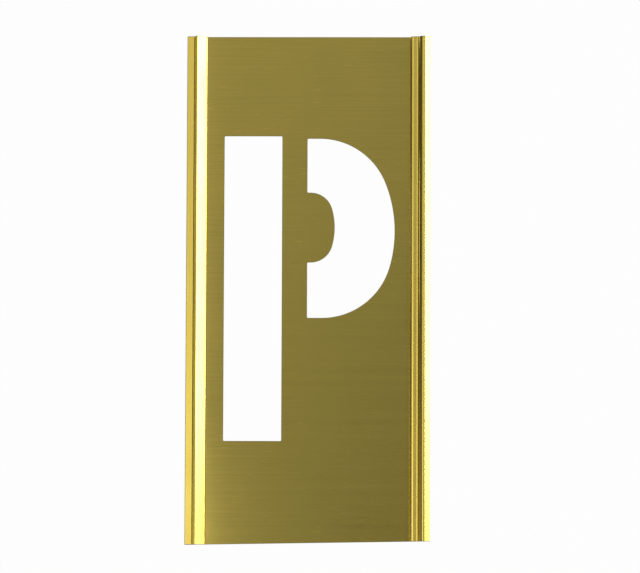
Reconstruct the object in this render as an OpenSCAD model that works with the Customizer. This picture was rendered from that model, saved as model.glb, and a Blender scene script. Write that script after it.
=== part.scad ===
// Interlocking lettering stencil for the letter P, formed from one brass sheet.
// The plate lies flat on z = 0 with the side that takes the paint up and the top of the letter towards +Y.
// Each long edge is rolled into a bead: the right edge of one plate slides lengthwise
// over the left edge of the next, so the two beads nest and the letters keep their spacing.

/* [Plate] */
// Length of the plate, along the upright of the letter
plate_l = 127; // [110:0.5:180]
// Thickness of the sheet
sheet_t = 0.3; // [0.2:0.01:0.4]
// Angle by which the shears cut the foot end out of square, shorter towards the right
foot_skew = 1; // [0:0.1:3]

/* [Letter] */
// Height of the letter
letter_h = 76.2; // [60:0.1:90]
// Metal left between the top end of the plate and the letter
top_margin = 25; // [10:0.1:26]
// Metal left between the left lock edge and the upright
left_margin = 4.3; // [3:0.05:20]
// Metal left between the bowl and the right lock edge
right_margin = 3.7; // [2:0.05:30]
// Width of the upright
stem_w = 14.45; // [8:0.05:25]
// Width of the bridge that ties the counter to the plate
bridge_w = 6.3; // [3:0.1:12]
// Radius of the punched corners
corner_r = 0.25; // [0.1:0.05:0.5]

/* [Bowl] */
// Reach of the bowl from the bridge to its rightmost point
bowl_w = 21.8; // [19:0.1:40]
// Height of the bowl
bowl_h = 44.9; // [41:0.1:50]
// Drop of the bowl's top below the top of the upright
bowl_drop = 0.6; // [0:0.05:2]
// Radius of the bowl's side
bowl_side_r = 32.6; // [28:0.1:40]
// Radius of the bowl's two shoulders
bowl_shoulder_r = 17.6; // [14:0.1:18.5]
// Drop of the bowl's widest point below the middle of the bowl
belly_drop = 0.75; // [0:0.05:1]

/* [Counter] */
// Reach of the counter from the bridge
counter_w = 6.85; // [6.2:0.05:9]
// Height of the counter
counter_h = 17.5; // [15:0.1:21]
// Distance of the counter's top below the bowl's top
counter_drop = 13.55; // [10:0.05:16]
// Radius of the counter's side
counter_side_r = 17; // [12:0.1:22]
// Radius of the counter's two shoulders
counter_shoulder_r = 5.6; // [4:0.1:6.5]

/* [Left bead] */
// Rise of the bead's crest above the web
bead_lift = 2.35; // [2.2:0.05:2.8]
// Inside radius of the crest of both beads
crest_r = 0.12; // [0.08:0.01:0.3]
// Angle of the bead's long slope, on the right of its crest
slope_a = 45; // [40:1:55]
// Angle of the bead's steep flank, on the left of its crest
flank_a = 72; // [65:1:86]
// Inside radius of the bend between the web and the long slope
crease_r = 0.4; // [0.1:0.05:0.8]
// Rise of the free flange above the web, at the foot of the bead
flange_lift = 1.25; // [0.9:0.05:1.35]
// Width of the free flange
flange_w = 1.85; // [1.6:0.05:2.4]
// Angle at which the flange springs down towards its free edge
flange_a = 4; // [0:0.5:8]
// Inside radius of the tight bends at the foot of the left bead and of the right edge's riser
tight_r = 0.12; // [0.08:0.01:0.2]

/* [Right bead] */
// Clearance between the nested beads of two joined plates
lock_gap = 0.05; // [0.02:0.01:0.12]
// Room between the neighbour's flange and the riser that covers it
edge_play = 0.45; // [0.1:0.05:0.8]
// Angle of the riser beside the web
riser_a = 85; // [75:1:88]
// Inside radius of the riser's shoulder
shoulder_r = 0.3; // [0.2:0.01:0.35]
// Inside radius of the bend at the foot of the bead
foot_r = 0.25; // [0.1:0.01:0.4]
// Steepest angle of the bead's round inner side, between its foot and its crest
arch_a = 60; // [54:1:75]
// Length of the slope on the right of the crest
cover_w = 1.75; // [1.2:0.05:2.2]

/* [Hidden] */
$fn = 96;
brass_web = [0.55, 0.48, 0.22];
brass_slope = [0.95, 0.87, 0.55];
brass_steep = [0.42, 0.36, 0.12];
brass_lip = [0.80, 0.69, 0.33];
through = 1;
// Arcs that only touched would leave slivers, so a shoulder stands out by this much
blend = 0.005;
// Share of a bend that is drawn from each of its ends
bend_share = 0.6;

// A nested sheet lies one thickness and one clearance outside the sheet that it covers. Its crest is
// as tight as the crest below it, and stands this far to the right of it, so that the slopes nest too.
nest = sheet_t + lock_gap;
cover_shift = nest * tan(slope_a / 2);
strip_lift = flange_lift + nest;
cover_lift = bead_lift + nest;

// A bend rises or falls by its radius times the change in the cosine of the sheet's slope,
// and reaches sideways by its radius times the change in the sine.
function rise(r, a, b) = r * abs(cos(a) - cos(b));
function reach(r, a, b) = r * abs(sin(a) - sin(b));

// Straight lengths of the left bead, seen from the crease outwards
slope_br = crease_r + sheet_t;
tight_br = tight_r + sheet_t;
slope_l = (bead_lift - rise(slope_br + crest_r, 0, slope_a)) / sin(slope_a);
flank_l = (bead_lift - flange_lift - rise(crest_r, 0, flank_a) - rise(tight_br, flange_a, flank_a))
    / sin(flank_a);
crest_u = reach(slope_br + crest_r, 0, slope_a) + slope_l * cos(slope_a);
flank_u = reach(crest_r, 0, flank_a) + flank_l * cos(flank_a) + reach(tight_br, flange_a, flank_a);
flange_u = flank_u + flange_w * cos(flange_a);
left_w = crest_u + flange_u;

// Straight lengths of the right bead, whose round inner side rises from its foot to its crest in one arc
foot_br = foot_r + sheet_t;
arch_r = (cover_lift - strip_lift - rise(foot_br, flange_a, arch_a)) / rise(1, 0, arch_a);
arch_u = reach(arch_r, 0, arch_a) + reach(foot_br, flange_a, arch_a);
strip_u = flange_u + cover_shift + edge_play - arch_u - reach(shoulder_r, flange_a, 90);
strip_l = strip_u / cos(flange_a);
riser_l = (strip_lift - strip_l * sin(flange_a) - rise(tight_br, 0, riser_a)
    - rise(shoulder_r, flange_a, riser_a)) / sin(riser_a);
cover_crest_u = reach(tight_br, 0, riser_a) + riser_l * cos(riser_a)
    + reach(shoulder_r, flange_a, riser_a) + strip_u + arch_u;
right_w = cover_crest_u + reach(crest_r + sheet_t, 0, slope_a) + cover_w * cos(slope_a);

// Folds of each edge from its crease outwards: inside radius of the bend, its turn upwards,
// and the straight stretch that follows
left_folds = [
    [crease_r, slope_a, slope_l],
    [crest_r, -slope_a, 0],
    [crest_r, -flank_a, flank_l],
    [tight_r, flank_a - flange_a, flange_w]
];
right_folds = [
    [tight_r, riser_a, riser_l],
    [shoulder_r, flange_a - riser_a, strip_l],
    [foot_r, arch_a - flange_a, 0],
    [arch_r, -arch_a / 2, 0],
    [arch_r, -arch_a / 2, 0],
    [crest_r, -slope_a, cover_w]
];

// Places across the plate, with x = 0 midway between its two outer edges
web_w = left_margin + stem_w + bridge_w + bowl_w + right_margin;
plate_w = left_w + web_w + right_w;
web_x = left_w - plate_w / 2;
web_end_x = web_x + web_w;
stem_x = web_x + left_margin;
bowl_x = stem_x + stem_w + bridge_w;

// Places along the plate, with y = 0 midway between its two ends
letter_top_y = plate_l / 2 - top_margin;
bowl_top_y = letter_top_y - bowl_drop;
bowl_base_y = bowl_top_y - bowl_h;
counter_top_y = bowl_top_y - counter_drop;
counter_base_y = counter_top_y - counter_h;

// Part of a ring between two angles less than 180 degrees apart
module ring_sector(inner_r, a, b) {
    outer_r = inner_r + sheet_t;
    corner_a = [a, (2 * a + b) / 3, (a + 2 * b) / 3, b];
    intersection() {
        difference() {
            circle(outer_r);
            circle(inner_r);
        }
        polygon(concat([[0, 0]], [for (c = corner_a) 2 * outer_r * [cos(c), sin(c)]]));
    }
}

// Section of a folded sheet. It follows the folds from the crease, and draws those from first to last.
// Each bend is two overlapping parts, so that it meets the sheet squarely before and after it.
module folded_sheet(folds, first, last, i = 0) {
    inner_r = folds[i][0];
    turn = folds[i][1];
    straight_l = folds[i][2];
    centre_y = turn > 0 ? sheet_t + inner_r : -inner_r;
    start_a = turn > 0 ? -90 : 90;
    translate([0, centre_y]) {
        if (i >= first)
            ring_sector(inner_r, start_a, start_a + bend_share * turn);
        rotate(turn) {
            if (i >= first)
                ring_sector(inner_r, start_a - bend_share * turn, start_a);
            translate([0, -centre_y]) {
                if (i >= first && straight_l > 0)
                    square([straight_l, sheet_t]);
                if (i < last)
                    translate([straight_l, 0])
                        folded_sheet(folds, first, last, i + 1);
            }
        }
    }
}

// What the shears leave: everything above the foot end's line, which starts at the left edge
module above_foot() {
    end_y = plate_l / 2 + through;
    foot_y = -plate_l / 2;
    foot_rise = (plate_w + through) * tan(foot_skew);
    slip = through * tan(foot_skew);
    translate([0, 0, -through])
        linear_extrude(cover_lift + sheet_t + 2 * through)
            polygon([
                [-plate_w / 2 - through, foot_y - slip],
                [plate_w / 2 + through, foot_y + foot_rise],
                [plate_w / 2 + through, end_y],
                [-plate_w / 2 - through, end_y]
            ]);
}

// Runs a section drawn in x and z along the whole length of the plate
module along_plate() {
    intersection() {
        rotate([90, 0, 0])
            translate([0, 0, -plate_l / 2])
                linear_extrude(plate_l + through)
                    children();
        above_foot();
    }
}

module left_edge(first, last) {
    along_plate()
        translate([web_x, 0])
            mirror([1, 0])
                folded_sheet(left_folds, first, last);
}

module right_edge(first, last) {
    along_plate()
        translate([web_end_x, 0])
            folded_sheet(right_folds, first, last);
}

// Where a shoulder's centre stands, when it touches the side arc from inside
function shoulder_x(side_x, side_r, shoulder_r, y) =
    side_x + sqrt(pow(side_r - shoulder_r, 2) - pow(y, 2));

// Outline of a round that bulges to the right from x = 0: flat at the top and the base,
// a shoulder at each end, and one flatter side arc that runs on into both shoulders
module bulge(w, top_y, base_y, side_r, shoulder_r, belly_y) {
    side_c = [w - side_r, belly_y];
    top_h = top_y - shoulder_r - belly_y;
    base_h = base_y + shoulder_r - belly_y;
    top_c = [shoulder_x(side_c[0], side_r, shoulder_r, top_h), belly_y + top_h];
    base_c = [shoulder_x(side_c[0], side_r, shoulder_r, base_h), belly_y + base_h];
    past_join = side_r / (side_r - shoulder_r);
    top_join = side_c + past_join * (top_c - side_c);
    base_join = side_c + past_join * (base_c - side_c);
    intersection() {
        translate([0, base_y])
            square([2 * w, top_y - base_y]);
        union() {
            polygon([[0, base_y], [base_c[0], base_y], base_join, top_join, [top_c[0], top_y], [0, top_y]]);
            for (shoulder_c = [top_c, base_c])
                translate(shoulder_c)
                    circle(shoulder_r + blend);
            intersection() {
                translate(side_c)
                    circle(side_r);
                polygon([base_join, top_join, 2 * top_join - side_c, 2 * base_join - side_c]);
            }
        }
    }
}

// Metal that rounds one square corner of an opening, which lies in the quadrant x > 0, y > 0
module corner_web() {
    difference() {
        square(corner_r);
        translate([corner_r, corner_r])
            circle(corner_r);
    }
}

// Opening of the upright
module stem_opening() {
    difference() {
        square([stem_w, letter_h]);
        for (side = [0, 1], end = [0, 1])
            translate([side * stem_w, end * letter_h])
                mirror([side, 0])
                    mirror([0, end])
                        corner_web();
    }
}

// Opening of the bowl, around the counter that stays joined to the bridge
module bowl_opening() {
    belly_y = (bowl_top_y + bowl_base_y) / 2 - belly_drop;
    difference() {
        bulge(bowl_w, bowl_top_y, bowl_base_y, bowl_side_r, bowl_shoulder_r, belly_y);
        bulge(
            counter_w, counter_top_y, counter_base_y, counter_side_r, counter_shoulder_r,
            (counter_top_y + counter_base_y) / 2
        );
        for (y = [bowl_base_y, counter_top_y])
            translate([0, y])
                corner_web();
        for (y = [bowl_top_y, counter_base_y])
            translate([0, y])
                mirror([0, 1])
                    corner_web();
    }
}

// Flat web with the letter punched through it
module stencil_plate() {
    color(brass_web)
        difference() {
            along_plate()
                translate([web_x, 0])
                    square([web_w, sheet_t]);
            translate([0, 0, -through])
                linear_extrude(sheet_t + 2 * through) {
                    translate([stem_x, letter_top_y - letter_h])
                        stem_opening();
                    translate([bowl_x, 0])
                        bowl_opening();
                }
        }
}

// Left edge, from its crease to the top of the bead
module left_bead_slope() {
    color(brass_slope)
        left_edge(0, 1);
}

// Left edge, from the top of the bead down its steep side
module left_bead_flank() {
    color(brass_steep)
        left_edge(2, 2);
}

// Free flange of the left edge, which slides under the neighbour's strip
module left_flange() {
    color(brass_lip)
        left_edge(3, 3);
}

// Right edge, from its crease up the riser that stands beside the neighbour's flange
module right_riser() {
    color(brass_steep)
        right_edge(0, 0);
}

// Strip of the right edge, which lies over the neighbour's flange
module right_strip() {
    color(brass_lip)
        right_edge(1, 1);
}

// Right edge, from the strip halfway up the round inner side of the wider bead
module right_bead_flank() {
    color(brass_steep)
        right_edge(2, 3);
}

// Right edge, from halfway up the wider bead to its top, which lies over the neighbour's crest
module right_bead_crown() {
    color(brass_lip)
        right_edge(4, 4);
}

// Right edge, from the top of the wider bead down to its free end
module right_bead_slope() {
    color(brass_slope)
        right_edge(5, 5);
}

stencil_plate();
left_bead_slope();
left_bead_flank();
left_flange();
right_riser();
right_strip();
right_bead_flank();
right_bead_crown();
right_bead_slope();
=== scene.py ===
"""Brass lettering stencil, letter P, lying flat with its rolled lock edges upwards.

Lengths are worked out in millimetres, as in the part's source, and become metres when a piece is made.
"""
import bpy
import numpy as np
from mathutils import Matrix, Vector


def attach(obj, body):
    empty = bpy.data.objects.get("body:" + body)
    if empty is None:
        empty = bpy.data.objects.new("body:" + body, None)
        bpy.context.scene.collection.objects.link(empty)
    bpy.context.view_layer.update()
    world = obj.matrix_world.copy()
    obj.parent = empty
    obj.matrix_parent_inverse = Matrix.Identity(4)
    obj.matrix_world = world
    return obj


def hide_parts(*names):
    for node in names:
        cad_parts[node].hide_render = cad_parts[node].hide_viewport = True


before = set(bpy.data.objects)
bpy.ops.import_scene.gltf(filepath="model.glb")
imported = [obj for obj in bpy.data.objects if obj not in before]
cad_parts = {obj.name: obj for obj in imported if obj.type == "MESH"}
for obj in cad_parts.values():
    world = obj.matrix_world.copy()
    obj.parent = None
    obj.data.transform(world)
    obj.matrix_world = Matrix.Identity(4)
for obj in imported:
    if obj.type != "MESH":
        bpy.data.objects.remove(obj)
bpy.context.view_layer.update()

MM = 0.001

# The sheet and the letter, with the sizes of the part's source
SHEET = 0.3
HALF_L = 63.5
WEB_LEFT, WEB_RIGHT = -25.2417, 25.3083
HALF_W = 30.4976
# The shears cut the foot end this many degrees out of square, which moves the points of the last SHEAR_BLEND
FOOT_SKEW, SHEAR_BLEND = 1.0, 20
STEM_X, STEM_Y = (-20.9417, -6.4917), (-37.7, 38.5)
BRIDGE_X = -3.3417
BOWL_X, BOWL_Y, BOWL_W = -0.1917, (-7.0, 37.9), 21.8
BOWL_SIDE_R, BOWL_SHOULDER_R, BELLY_DROP = 32.6, 17.6, 0.75
COUNTER_Y, COUNTER_W = (6.85, 24.35), 6.85
COUNTER_SIDE_R, COUNTER_SHOULDER_R = 17.0, 5.6
CORNER_R = 0.25

# Folds from each crease outwards: inside radius, turn upwards in degrees, straight stretch.
# Four things follow the photograph and not the part's source: the flange is 0.18 narrower, the strip of the
# right edge is a little hollow, the round side of its bead leaves its foot at 66 degrees instead of 60, and
# the slope outside its crest falls at 43.5 degrees instead of 45.
LEFT_FOLDS = [(0.4, 45, 2.9838), (0.12, -117, 0.7654), (0.12, 68, 1.67)]
RIGHT_FOLDS = [
    (0.12, 85, 0.8586), (0.3, -77, 0.22), (1.0, -4, 0.7242), (1.0, 3, 0.25), (0.25, 59, 0),
    (1.2517, -66, 0), (0.12, -43.5, 1.75)
]

# Radii of the cut edges: front and back rim of the web, and ends and free edges of the rolled parts.
# SUPPORT is the narrow row of faces that keeps a flat face flat beside a round.
FRONT_RIM, BACK_RIM, EDGE_RIM = 0.07, 0.035, 0.13
SUPPORT = 0.03
# Points along each quarter round
ROUND_POINTS = 6

# The web's border is ruled finely for this far from each corner, and points closer than SAME are one point
CORNER_RUN = 1
SAME = 1e-5


# Paths in the plan of the plate

def arc(centre, radius, start, end, count):
    """Points centre + radius * (cos a, sin a), with a from start to end in degrees."""
    a = np.radians(np.linspace(start, end, count))
    return np.asarray(centre, float) + radius * np.stack([np.cos(a), np.sin(a)], 1)


def line(p, q, count):
    """Points p + k * (q - p), with k from 0 to 1."""
    k = np.linspace(0, 1, count)[:, None]
    return (1 - k) * np.asarray(p, float) + k * np.asarray(q, float)


def bulge(x, heights, width, side_r, shoulder_r, drop):
    """Runs of a round that bulges right from x, from its base to its top.

    A shoulder's centre lies side_r - shoulder_r from the centre of the flatter side arc that it touches,
    and shoulder_r inside the base or the top.
    """
    low, high = heights
    belly = (low + high) / 2 - drop
    side_c = np.array([x + width - side_r, belly])
    rise = np.array([low + shoulder_r, high - shoulder_r]) - belly
    centres = side_c + np.stack([np.sqrt((side_r - shoulder_r) ** 2 - rise ** 2), rise], 1)
    joins = np.degrees(np.arcsin(rise / (side_r - shoulder_r)))
    return [
        line((x + CORNER_R, low), (centres[0, 0], low), 4),
        arc(centres[0], shoulder_r, -90, -45, 24),
        arc(centres[0], shoulder_r, -45, joins[0], 20),
        arc(side_c, side_r, joins[0], joins[1], 30),
        arc(centres[1], shoulder_r, joins[1], 45, 20),
        arc(centres[1], shoulder_r, 45, 90, 24),
        line((centres[1, 0], high), (x + CORNER_R, high), 4),
    ]


def paired(runs):
    """Joins runs into one closed path, with a border point for each of its points.

    Each run is (points, border start, border end), and its border points lie on that straight line at the
    run's own shares of length.
    """
    path, border = [], []
    for points, start, end in runs:
        step = np.linalg.norm(np.diff(points, axis=0), axis=1)
        share = np.concatenate([[0], np.cumsum(step)])[:, None] / step.sum()
        path.append(points[:-1])
        border.append(((1 - share) * np.asarray(start, float) + share * np.asarray(end, float))[:-1])
    return np.concatenate(path), np.concatenate(border)


def bowl_runs():
    """The bowl's outline round the counter, anticlockwise.

    It is ruled out to the bridge, the right crease and both ends, and stops are where its runs end there.
    """
    x, r, (low, high), (foot, head) = BOWL_X, CORNER_R, BOWL_Y, COUNTER_Y
    left, right, end, near = BRIDGE_X, WEB_RIGHT, HALF_L, HALF_L - CORNER_RUN
    bowl = bulge(x, BOWL_Y, BOWL_W, BOWL_SIDE_R, BOWL_SHOULDER_R, BELLY_DROP)
    counter = bulge(x, COUNTER_Y, COUNTER_W, COUNTER_SIDE_R, COUNTER_SHOULDER_R, 0)
    counter = np.concatenate([run[:-1] for run in counter[:-1]] + [counter[-1]])[::-1]
    stops = [
        (left + 0.5, -end), (left + 6, -end), (right, -end), (right, -20), (right, 38),
        (right, end), (left + 6, end), (left + 0.5, end)
    ]
    return [
        (arc((x + r, low + r), r, 225, 270, 5), (left, -end), stops[0]),
        *[(run, stops[i], stops[i + 1]) for i, run in enumerate(bowl)],
        (arc((x + r, high - r), r, 90, 135, 5), stops[7], (left, end)),
        (arc((x + r, high - r), r, 135, 180, 5), (left, end), (left, near)),
        (line((x, high - r), (x, head + r), 12), (left, near), (left, head + r)),
        (arc((x + r, head + r), r, 180, 270, 9), (left, head + r), (left, head - 0.1)),
        (counter, (left, head - 0.1), (left, foot + 0.1)),
        (arc((x + r, foot - r), r, 90, 180, 9), (left, foot + 0.1), (left, foot - r)),
        (line((x, foot - r), (x, low + r), 12), (left, foot - r), (left, -near)),
        (arc((x + r, low + r), r, 180, 225, 5), (left, -near), (left, -end)),
    ]


def stem_runs(bridge_y):
    """The upright's outline, anticlockwise. On its right it shares the bridge's border points."""
    (x0, x1), (y0, y1), r = STEM_X, STEM_Y, CORNER_R
    left, right, end, run = WEB_LEFT, BRIDGE_X, HALF_L, CORNER_RUN
    near = end - run
    beside = np.interp(bridge_y, bridge_y[[0, -1]], (y0 + r, y1 - r))
    inner_side = np.stack([np.full_like(beside, x1), beside], 1)
    return [
        (arc((x0 + r, y0 + r), r, 225, 270, 5), (left, -end), (left + run, -end)),
        (line((x0 + r, y0), (x1 - r, y0), 16), (left + run, -end), (right - run, -end)),
        (arc((x1 - r, y0 + r), r, 270, 315, 5), (right - run, -end), (right, -end)),
        (arc((x1 - r, y0 + r), r, 315, 360, 5), (right, -end), (right, -near)),
        (inner_side, (right, -near), (right, near)),
        (arc((x1 - r, y1 - r), r, 0, 45, 5), (right, near), (right, end)),
        (arc((x1 - r, y1 - r), r, 45, 90, 5), (right, end), (right - run, end)),
        (line((x1 - r, y1), (x0 + r, y1), 16), (right - run, end), (left + run, end)),
        (arc((x0 + r, y1 - r), r, 90, 135, 5), (left + run, end), (left, end)),
        (arc((x0 + r, y1 - r), r, 135, 180, 5), (left, end), (left, near)),
        (line((x0, y1 - r), (x0, y0 + r), 40), (left, near), (left, -near)),
        (arc((x0 + r, y0 + r), r, 180, 225, 5), (left, -near), (left, -end)),
    ]


# Surfaces

def rim_profile():
    """Inset and height of a cut edge from front to back: two quarter rounds and the wall between them.

    Front: inset = R * (1 - sin a), height = SHEET - R * (1 - cos a).
    Back: the same with its own radius, upside down.
    """
    a = np.radians(np.linspace(0, 90, ROUND_POINTS))
    inset = np.concatenate([
        [FRONT_RIM + SUPPORT], FRONT_RIM * (1 - np.sin(a)), BACK_RIM * (1 - np.cos(a)), [BACK_RIM + SUPPORT]
    ])
    height = np.concatenate([
        [SHEET], SHEET - FRONT_RIM * (1 - np.cos(a)), BACK_RIM * (1 - np.sin(a)), [0]
    ])
    return inset, height


def ruled_sheet(runs):
    """Sheet ruled from an opening's outline to its border, front and back, as a grid closed both ways.

    Row k of the opening's rim lies at path + normal * inset[k]. The border has the same rim where it is an end
    of the plate, and a plain wall elsewhere. With the grid go marks for the faces that the tools cut.
    """
    path, border = paired(runs)
    along = np.roll(path, -1, 0) - np.roll(path, 1, 0)
    normal = np.stack([along[:, 1], -along[:, 0]], 1) / np.linalg.norm(along, axis=1)[:, None]
    inset, height = rim_profile()
    wall = np.where(height > SHEET / 2, SHEET, 0)
    cut = np.isclose(np.abs(border[:, 1]), HALF_L)[None, :]
    inner = np.stack([
        path[None, :, 0] + inset[:, None] * normal[None, :, 0],
        path[None, :, 1] + inset[:, None] * normal[None, :, 1],
        np.repeat(height[:, None], len(path), 1),
    ], 2)
    outer = np.stack([
        np.repeat(border[None, :, 0], len(inset), 0),
        border[None, :, 1] - np.sign(border[None, :, 1]) * inset[:, None] * cut,
        wall[:, None] + (height - wall)[:, None] * cut,
    ], 2)
    rim = np.zeros(len(inset), bool)
    rim[1:-2] = True
    marks = np.repeat(np.concatenate([rim, np.roll(rim[::-1], -1)])[:, None], len(path), 1)
    return np.concatenate([inner, outer[::-1]]), marks


def fold_line(folds):
    """Middle line of a folded sheet and its normals, in distance out from the crease and height.

    A bend of inside radius r is an arc of radius r + SHEET / 2 round centre = p + sign * radius * normal.
    """
    p, heading = np.array([0.0, SHEET / 2]), 0.0
    points, headings = [p[None]], [np.zeros(1)]
    for number, (inside, turn, straight) in enumerate(folds):
        radius, sign = inside + SHEET / 2, np.sign(turn)
        a = heading + np.linspace(0, turn, 2 + int(abs(turn) / 4))
        up = np.stack([-np.sin(np.radians(a)), np.cos(np.radians(a))], 1)
        bend = p + sign * radius * (up[0] - up)
        p, heading = bend[-1], heading + turn
        way = np.array([np.cos(np.radians(heading)), np.sin(np.radians(heading))])
        reach = straight if number < len(folds) - 1 else straight - EDGE_RIM
        stops = np.array([SUPPORT, reach - SUPPORT, reach] if straight else [])
        points += [bend[1:], p + stops[:, None] * way]
        headings += [a[1:], np.full(len(stops), heading)]
        p = p + reach * way
    a = np.radians(np.concatenate(headings))
    return np.concatenate(points), np.stack([-np.sin(a), np.cos(a)], 1)


def rolled_edge(crease_x, side, folds):
    """Folded section carried along the plate.

    It thins by R * (1 - cos a) over the last R * (1 - sin a) at each end. The section is middle + normal * half
    on the front, the same with - half on the back, and between them a round of radius EDGE_RIM along the free
    edge. The last section closes on its middle line. With the grid go marks for the faces of the round and of
    both ends.
    """
    middle, normal = fold_line(folds)
    a = np.radians(np.linspace(0, 90, ROUND_POINTS))
    inset, thin = EDGE_RIM * (1 - np.sin(a)), EDGE_RIM * (1 - np.cos(a))
    end_y = np.concatenate([[EDGE_RIM + SUPPORT], inset, [0]])
    end_thin = np.concatenate([[0], thin, [EDGE_RIM]])
    end_open = np.concatenate([[1], 1 - thin / (SHEET / 2), [0]])
    body = np.linspace(EDGE_RIM + SUPPORT - HALF_L, HALF_L - EDGE_RIM - SUPPORT, 65)[1:-1]
    y = np.concatenate([(end_y - HALF_L)[::-1], body, HALF_L - end_y])
    thinned = np.concatenate([end_thin[::-1], np.zeros(len(body)), end_thin])
    opened = np.concatenate([end_open[::-1], np.ones(len(body)), end_open])
    tangent = np.array([normal[-1, 1], -normal[-1, 0]])
    half = SHEET / 2 * opened[:, None, None]
    lip = np.concatenate([a[1:], np.pi - a[:-1][::-1]])
    lip_out = EDGE_RIM * np.sin(lip)
    lip_up = np.where(lip < np.pi / 2 + SAME, 1, -1) * (SHEET / 2 - EDGE_RIM) + EDGE_RIM * np.cos(lip)
    rounded = (
        middle[-1]
        + (lip_out[None, :, None] * opened[:, None, None] - thinned[:, None, None]) * tangent
        + lip_up[None, :, None] * opened[:, None, None] * normal[-1]
    )
    back_off = np.zeros(len(middle))
    back_off[-3:] = 1
    trimmed = middle[None] - back_off[None, :, None] * thinned[:, None, None] * tangent
    section = np.concatenate([
        trimmed + half * normal, rounded, (trimmed - half * normal)[:, ::-1]
    ], 1)
    grid = np.stack([
        crease_x + side * section[..., 0],
        np.repeat(y[:, None], section.shape[1], 1),
        section[..., 1],
    ], 2)
    marks = np.zeros((len(y) - 1, section.shape[1]), bool)
    marks[:, len(middle) - 1:len(middle) + len(lip)] = True
    marks[:len(inset)] = marks[-len(inset):] = True
    return grid, marks


def sheared(points):
    """Foot end moved to the line that the shears cut.

    New y = y + (x - left edge) * tan(FOOT_SKEW) * (1 - (y + HALF_L) / SHEAR_BLEND).
    """
    reach = np.clip(1 - (points[:, 1] + HALF_L) / SHEAR_BLEND, 0, 1)
    moved = points.copy()
    moved[:, 1] += (points[:, 0] + HALF_W) * np.tan(np.radians(FOOT_SKEW)) * reach
    return moved


def grid_faces(rows, columns, closed_rows, first):
    """Quads of a grid whose columns close on themselves, as its rows may too."""
    i = np.arange(rows if closed_rows else rows - 1)[:, None]
    j = np.arange(columns)[None]
    corners = [(i, j), (i, (j + 1) % columns), ((i + 1) % rows, (j + 1) % columns), ((i + 1) % rows, j)]
    return first + np.stack([(a * columns + b).ravel() for a, b in corners], 1)


def make_piece(name, sheets, closed_rows, materials, nodes):
    """Welds grids of points in millimetres into one closed mesh with its faces outwards.

    The first material is for the sheet's faces, and the second one for the marked faces.
    """
    points = np.concatenate([grid.reshape(-1, 3) for grid, _ in sheets])
    cut_marks = np.concatenate([marks.ravel() for _, marks in sheets])
    starts = np.cumsum([0] + [grid.shape[0] * grid.shape[1] for grid, _ in sheets])
    quads = np.concatenate([
        grid_faces(grid.shape[0], grid.shape[1], closed_rows, start) for (grid, _), start in zip(sheets, starts)
    ])
    if len(sheets) > 1:
        apart = ~np.isclose(points[quads][:, :, 0], BRIDGE_X, atol=SAME).all(1)
        quads, cut_marks = quads[apart], cut_marks[apart]
    _, keep, place = np.unique(np.round(points, 5), axis=0, return_index=True, return_inverse=True)
    points, quads = points[keep], place.ravel()[quads]
    same = quads == np.roll(quads, -1, 1)
    whole, cut = quads[~same.any(1)], same.sum(1) == 1
    thirds = quads[cut][~same[cut]].reshape(-1, 3)
    corner = points[np.concatenate([whole[:, :3], whole[:, [0, 2, 3]], thirds])]
    if np.einsum("ij,ij->i", corner[:, 0], np.cross(corner[:, 1], corner[:, 2])).sum() < 0:
        whole, thirds = whole[:, ::-1], thirds[:, ::-1]
    mesh = bpy.data.meshes.new(name)
    mesh.from_pydata((sheared(points) * MM).tolist(), [], whole.tolist() + thirds.tolist())
    mesh.shade_smooth()
    mesh.set_sharp_from_angle(angle=np.radians(32))
    for material in materials:
        mesh.materials.append(material)
    kept_marks = np.concatenate([cut_marks[~same.any(1)], cut_marks[cut]])
    mesh.polygons.foreach_set("material_index", kept_marks.astype(int))
    piece = bpy.data.objects.new(name, mesh)
    bpy.context.scene.collection.objects.link(piece)
    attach(piece, "root")
    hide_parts(*nodes)


# Materials

class Shade:
    """A node's output. Arithmetic on it adds the Math nodes."""

    def __init__(self, finish, socket):
        self.finish, self.socket = finish, socket

    def maths(self, operation, *values):
        return self.finish.node("ShaderNodeMath", {"operation": operation}, dict(enumerate(values)))

    def __add__(self, other):
        return self.maths("ADD", self, other)

    def __sub__(self, other):
        return self.maths("SUBTRACT", self, other)

    def __mul__(self, other):
        return self.maths("MULTIPLY", self, other)

    __radd__, __rmul__ = __add__, __mul__

    def fading(self, reach):
        """exp(-self / reach)"""
        return self.maths("EXPONENT", self * (-1 / reach))


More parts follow.
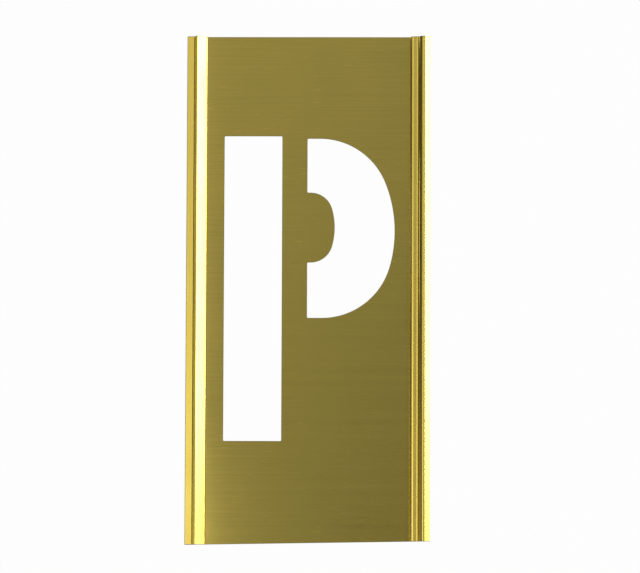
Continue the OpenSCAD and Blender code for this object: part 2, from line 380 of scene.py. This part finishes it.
class Finish:
    """A material's node tree, in which every node comes from one method."""

    def __init__(self, owner):
        owner.use_nodes = True
        self.owner, self.tree = owner, owner.node_tree
        self.tree.nodes.clear()

    def node(self, kind, settings=None, sockets=None, output=0):
        made = self.tree.nodes.new(kind)
        for key, value in (settings or {}).items():
            setattr(made, key, value)
        for key, value in (sockets or {}).items():
            if isinstance(value, Shade):
                self.tree.links.new(value.socket, made.inputs[key])
            else:
                made.inputs[key].default_value = value
        return Shade(self, made.outputs[output]) if made.outputs else None

    def noise(self, across, scale, detail, rough):
        """Noise from 0 to 1 in Object coordinates, stretched by across."""
        place = self.node("ShaderNodeTexCoord", output="Object")
        place = self.node("ShaderNodeMapping", {}, {"Vector": place, "Scale": across})
        return self.node("ShaderNodeTexNoise", {}, {
            "Vector": place, "Scale": scale, "Detail": detail, "Roughness": rough
        })

    def between(self, value, low, high):
        """0 at low and 1 at high, and straight from one to the other."""
        return self.node("ShaderNodeMapRange", {"clamp": True}, {
            "Value": value, "From Min": low, "From Max": high
        })

    def metal(self, colour, rough, relief):
        """Closes the tree with a metal of this colour, roughness and relief, and gives the material."""
        shader = self.node("ShaderNodeBsdfPrincipled", {}, {
            "Base Color": colour, "Metallic": 1.0, "Roughness": rough, "Normal": relief
        })
        self.node("ShaderNodeOutputMaterial", {}, {"Surface": shader})
        return self.owner

    def tint(self, share, one, other):
        return self.node("ShaderNodeMix", {"data_type": "RGBA"}, {0: share, 6: one, 7: other}, output=2)


BRASS = (0.900, 0.700, 0.140, 1)
BRASS_WARM = (0.930, 0.690, 0.130, 1)
# The web's two colours are the brass darkened to about seven tenths: painted shade that makes the flat web
# dimmer than the rolled edges, which keep the brass itself.
WEB_BRASS_SHADED = (0.620, 0.486, 0.104, 1)
WEB_BRASS_DULL_SHADED = (0.515, 0.412, 0.091, 1)
# The cut edges' two colours are the brass darkened to about a seventh: partly the dull face of a cut, partly
# painted shade along the web's rims and the rolled edges' ends and free edges.
CUT_BRASS_SHADED = (0.13, 0.095, 0.035, 1)
CUT_BRASS_PALE_SHADED = (0.22, 0.165, 0.05, 1)

# Depths in metres of the brushed grain, and of the two bows in the web beside the left crease, with the
# distance over which each one fades. The wide one comes in between two places along the plate.
GRAIN_DEPTH = 0.0000032
NARROW_BOW, NARROW_FADE = 0.00013, 0.0035
WIDE_BOW, WIDE_FADE = 0.0004, 0.009
WIDE_START, WIDE_FULL = -0.03, -0.062
LINE_DEPTH = 0.00001


def brushed_brass():
    """Sheet brass brushed across the plate, with faint long streaks and a hand's soft patches. Its colours are
    a darker copy of the brass: painted shade over the whole web.

    The web is bowed down beside the left crease by A * exp(-d / L), more and wider towards the foot. The amount
    was fitted to how bright the photograph is there.
    """
    f = Finish(bpy.data.materials.new("brushed_brass"))
    grain = f.noise((30, 5200, 30), 1.0, 3, 0.6)
    streak = f.noise((9, 620, 9), 1.0, 2, 0.55)
    patch = f.noise((1, 1, 1), 55, 2, 0.5)
    fleck = f.between(f.noise((260, 2600, 260), 1.0, 1, 0.4), 0.70, 0.80)
    colour = f.tint(f.between(patch * 0.4 + grain * 0.6, 0.38, 0.62), WEB_BRASS_SHADED, WEB_BRASS_DULL_SHADED)
    colour = f.tint(fleck * 0.5, colour, BRASS)
    place = f.node("ShaderNodeTexCoord", output="Object")
    across = f.node("ShaderNodeSeparateXYZ", {}, {"Vector": place}, 0) - WEB_LEFT * MM
    along = f.node("ShaderNodeSeparateXYZ", {}, {"Vector": place}, 1)
    wide = across.fading(WIDE_FADE) * f.between(along, WIDE_START, WIDE_FULL)
    drawn = across.fading(NARROW_FADE) * NARROW_BOW + wide * WIDE_BOW
    rough = 0.26 + f.between(grain, 0.3, 0.7) * 0.05 + f.between(streak, 0.35, 0.65) * 0.02
    rough = rough + f.between(patch, 0.35, 0.65) * 0.03
    relief = f.node("ShaderNodeBump", {}, {
        "Strength": 1.0, "Distance": 1.0, "Height": (grain + streak) * GRAIN_DEPTH - drawn
    })
    return f.metal(colour, rough, relief)


def rolled_brass():
    """The brass at its own colour, lighter than the web's painted shade, with faint lines along the bead."""
    f = Finish(bpy.data.materials.new("rolled_brass"))
    lines = f.noise((2000, 12, 2000), 1.0, 1, 0.4)
    patch = f.noise((1, 1, 1), 70, 2, 0.5)
    colour = f.tint(f.between(patch * 0.5 + lines * 0.5, 0.4, 0.6), BRASS, BRASS_WARM)
    rough = 0.15 + f.between(lines, 0.3, 0.7) * 0.05 + f.between(patch, 0.35, 0.65) * 0.04
    relief = f.node("ShaderNodeBump", {}, {"Strength": 0.15, "Distance": LINE_DEPTH, "Height": lines})
    return f.metal(colour, rough, relief)


def cut_brass_shaded():
    """Edges left by the punch and the shears: dull, darkened far below the brass as painted shade along the
    rims and ends, and with fine lines where the tools scraped them.
    """
    f = Finish(bpy.data.materials.new("cut_brass_shaded"))
    scrape = f.noise((2500, 2500, 60), 1.0, 2, 0.5)
    patch = f.noise((1, 1, 1), 180, 2, 0.5)
    colour = f.tint(f.between(patch, 0.35, 0.65), CUT_BRASS_SHADED, CUT_BRASS_PALE_SHADED)
    relief = f.node("ShaderNodeBump", {}, {"Strength": 0.5, "Distance": LINE_DEPTH, "Height": scrape})
    return f.metal(colour, 0.42 + f.between(patch, 0.3, 0.7) * 0.12, relief)


def pale_floor():
    """Floor that shows white, less a soft share of the object's shadow."""
    f = Finish(bpy.data.materials.new("pale_floor"))
    ray = f.node("ShaderNodeLightPath", output="Is Camera Ray")
    glossy = f.node("ShaderNodeLightPath", output="Is Glossy Ray")
    through = f.node("ShaderNodeLightPath", output="Is Transmission Ray")
    seen = ray + glossy + through
    paint = f.node("ShaderNodeBsdfDiffuse", {}, {"Color": (0.8, 0.8, 0.8, 1)})
    glow = f.node("ShaderNodeEmission", {}, {"Color": (1, 1, 1, 1), "Strength": 1.0})
    shader = f.node("ShaderNodeMixShader", {}, {0: seen * 0.97, 1: paint, 2: glow})
    f.node("ShaderNodeOutputMaterial", {}, {"Surface": shader})
    return f.owner


# The stencil

# The first material is the web's darker copy of the brass: painted shade.
# The third material is the cut edges' dark brass: painted shade along rims, ends and free edges, on a dull cut
# face.
brushed_shaded, rolled, cut = brushed_brass(), rolled_brass(), cut_brass_shaded()
bowl = bowl_runs()
border_x, border_y = paired(bowl)[1].T
on_bridge = (border_x < BRIDGE_X + SAME) & (np.abs(border_y) < HALF_L - CORNER_RUN + SAME)
bridge_y = np.sort(border_y[on_bridge])
make_piece(
    "punched_plate", [ruled_sheet(stem_runs(bridge_y)), ruled_sheet(bowl)], True, [brushed_shaded, cut],
    ["stencil_plate"]
)
make_piece(
    "left_rolled_edge", [rolled_edge(WEB_LEFT, -1, LEFT_FOLDS)], False, [rolled, cut],
    ["left_bead_slope", "left_bead_flank", "left_flange"]
)
make_piece(
    "right_rolled_edge", [rolled_edge(WEB_RIGHT, 1, RIGHT_FOLDS)], False, [rolled, cut],
    ["right_riser", "right_strip", "right_bead_flank", "right_bead_crown", "right_bead_slope"]
)


# Floor, light and camera

# Metres. The floor lies just under the plate, so that their faces don't share a plane.
FLOOR_HALF, FLOOR_Z = 4, -2e-5

floor_mesh = bpy.data.meshes.new("floor")
corners = [(x * FLOOR_HALF, y * FLOOR_HALF, FLOOR_Z) for x, y in ((-1, -1), (1, -1), (1, 1), (-1, 1))]
floor_mesh.from_pydata(corners, [], [(0, 1, 2, 3)])
floor_mesh.materials.append(pale_floor())
floor = bpy.data.objects.new("floor", floor_mesh)
bpy.context.scene.collection.objects.link(floor)


def softbox(name, bearing, lead, size, brightness, distance=1.3):
    """Rectangular lamp that faces the plate. Its power makes a mirror show it at the given brightness.

    Bearing is its angle to the right of straight up, and lead its angle towards the top of the letter.
    Size is its reach across the plate and along it, in degrees as the plate sees it.
    """
    across, along = 2 * distance * np.tan(np.radians(np.array(size) / 2))
    lamp = bpy.data.lights.new(name, "AREA")
    lamp.shape, lamp.size, lamp.size_y = "RECTANGLE", along, across
    lamp.energy = brightness * np.pi * along * across
    box = bpy.data.objects.new(name, lamp)
    bpy.context.scene.collection.objects.link(box)
    level = np.cos(np.radians(lead))
    place = Vector((
        np.sin(np.radians(bearing)) * level, np.sin(np.radians(lead)), np.cos(np.radians(bearing)) * level
    ))
    head_way = (Vector((0, 1, 0)) - place.y * place).normalized()
    facing = Matrix((head_way, place.cross(head_way), place)).transposed()
    box.matrix_world = Matrix.Translation(distance * place) @ facing.to_4x4()
    box.visible_camera = False


# Every lamp as softbox takes it. Foot and head are the halves of the plate that mirror a lamp to the camera.
# The fills are for views from other sides.
LAMPS = [
    ("left_fade", -34, 0, (16, 60), 0.3),
    ("left_panel_foot", -18, -26, (16, 60), 1.35),
    ("left_panel_head", -18, 34, (16, 60), 0.75),
    ("overhead_foot", -6, -26, (8, 60), 0.25),
    ("overhead_head", -6, 34, (8, 60), 0.4),
    ("right_fade", 14, 34, (32, 60), 0.4),
    ("right_panel", 45, 0, (30, 60), 1.0),
    ("left_low_foot", -75, -17, (40, 34), 0.27),
    ("window_head", 82, 17, (16, 34), 8.5),
    ("window_foot", 82, -17, (16, 34), 1.8),
    ("head_fill", 0, 55, (110, 34), 0.5, 1.8),
    ("foot_fill", 0, -55, (110, 34), 0.5, 1.8),
]
for lamp in LAMPS:
    softbox(*lamp)

world = bpy.data.worlds.new("studio")
bpy.context.scene.world = world
room = Finish(world)
surround = room.node("ShaderNodeBackground", {}, {"Color": (1, 1, 1, 1), "Strength": 0.05})
room.node("ShaderNodeOutputWorld", {}, {"Surface": surround})

# The photograph's camera: its focal length and width in pixels, and its turns in degrees about X, Y and Z.
# SEEN_FROM_EYE is where the point AIM lies in the camera's own axes, in millimetres as AIM is. All of them
# were fitted to the photograph.
FOCUS_PX, PHOTO_W = 3496, 640
TILT, LEAN, ROLL = np.radians([-4.23, -1.00, -0.13])
SEEN_FROM_EYE = Vector((-2.82, -0.83, -871.5))
AIM = Vector((0.22, 0, 0.3))

turned = Matrix.Rotation(ROLL, 3, "Z") @ Matrix.Rotation(LEAN, 3, "Y") @ Matrix.Rotation(TILT, 3, "X")
back = turned.transposed()
camera = bpy.data.cameras.new("camera")
camera.sensor_width = 36
camera.lens = FOCUS_PX / PHOTO_W * camera.sensor_width
camera.clip_start, camera.clip_end = 0.01, 20
eye = bpy.data.objects.new("camera", camera)
bpy.context.scene.collection.objects.link(eye)
eye.matrix_world = Matrix.Translation(AIM * MM - back @ SEEN_FROM_EYE * MM) @ back.to_4x4()
bpy.context.scene.camera = eye
bpy.context.scene.view_settings.view_transform = "Standard"
